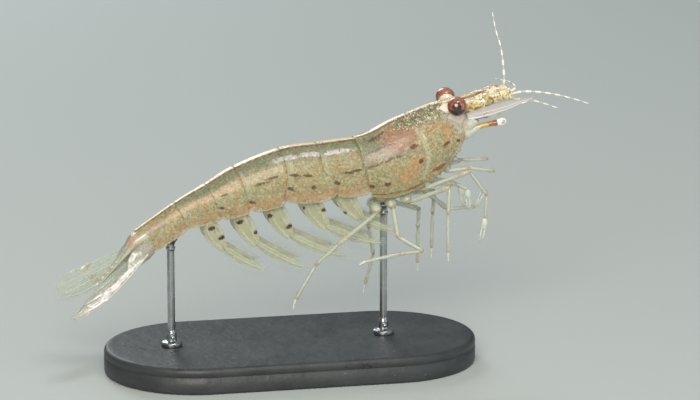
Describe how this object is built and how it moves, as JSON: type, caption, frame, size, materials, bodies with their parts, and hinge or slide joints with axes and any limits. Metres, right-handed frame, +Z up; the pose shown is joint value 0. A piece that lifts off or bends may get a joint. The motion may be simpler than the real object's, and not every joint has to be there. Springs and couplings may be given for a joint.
{
  "type": "aquarium shrimp",
  "caption": "Small freshwater shrimp on a plain display stand: see-through speckled shell, stalked eyes, slender clawed legs, beating swimmerets and a spread tail fan.",
  "frame": {"origin": "centre of the underside of the stand's base", "axes": "+X towards the shrimp's head, along the object's longest extent; +Y to the shrimp's left; +Z up"},
  "size_m": [0.048, 0.0371, 0.0313],
  "materials": {
    "shell": "thin see-through olive and cream shell with brown and dark speckles, a cream stripe along the back and rows of red-brown spots",
    "limb": "see-through pale green and white horn with amber joints, gold-speckled on the feeler stems",
    "fin": "thin clear horn with fine ribs, fringed edges and pearly highlights",
    "cornea": "polished red-brown to black faceted eye",
    "stand_base": "honed dark slate with softened edges",
    "stand_rod": "fine drawn stainless steel"
  },
  "bodies": {
    "root": {"abdomen_1": "shell", "abdomen_2": "shell", "abdomen_3": "shell", "abdomen_4": "shell", "abdomen_5": "shell", "abdomen_6": "shell", "antenna_flagellum_left": "limb", "antenna_flagellum_right": "limb", "antenna_scale_left": "fin", "antenna_scale_right": "fin", "antenna_stem_left": "limb", "antenna_stem_right": "limb", "antennule_inner_flagellum_left": "limb", "antennule_inner_flagellum_right": "limb", "antennule_outer_flagellum_left": "limb", "antennule_outer_flagellum_right": "limb", "antennule_stem_left": "limb", "antennule_stem_right": "limb", "carapace": "shell", "cheliped_1_left": "limb", "cheliped_1_right": "limb", "cheliped_2_left": "limb", "cheliped_2_right": "limb", "eye_left": "cornea", "eye_right": "cornea", "eyestalk_left": "limb", "eyestalk_right": "limb", "leg_3_left": "limb", "leg_3_right": "limb", "leg_4_left": "limb", "leg_4_right": "limb", "leg_5_left": "limb", "leg_5_right": "limb", "maxilliped_left": "limb", "maxilliped_right": "limb", "mouthparts": "limb", "rostrum": "shell", "stand_base": "stand_base", "stand_rod_front": "stand_rod", "stand_rod_rear": "stand_rod", "sternum": "shell", "swimmeret_1_left": "fin", "swimmeret_1_right": "fin", "swimmeret_2_left": "fin", "swimmeret_2_right": "fin", "swimmeret_3_left": "fin", "swimmeret_3_right": "fin", "swimmeret_4_left": "fin", "swimmeret_4_right": "fin", "swimmeret_5_left": "fin", "swimmeret_5_right": "fin", "telson": "fin", "uropod_endopod_left": "fin", "uropod_endopod_right": "fin", "uropod_exopod_left": "fin", "uropod_exopod_right": "fin"}
  },
  "joints": []
}
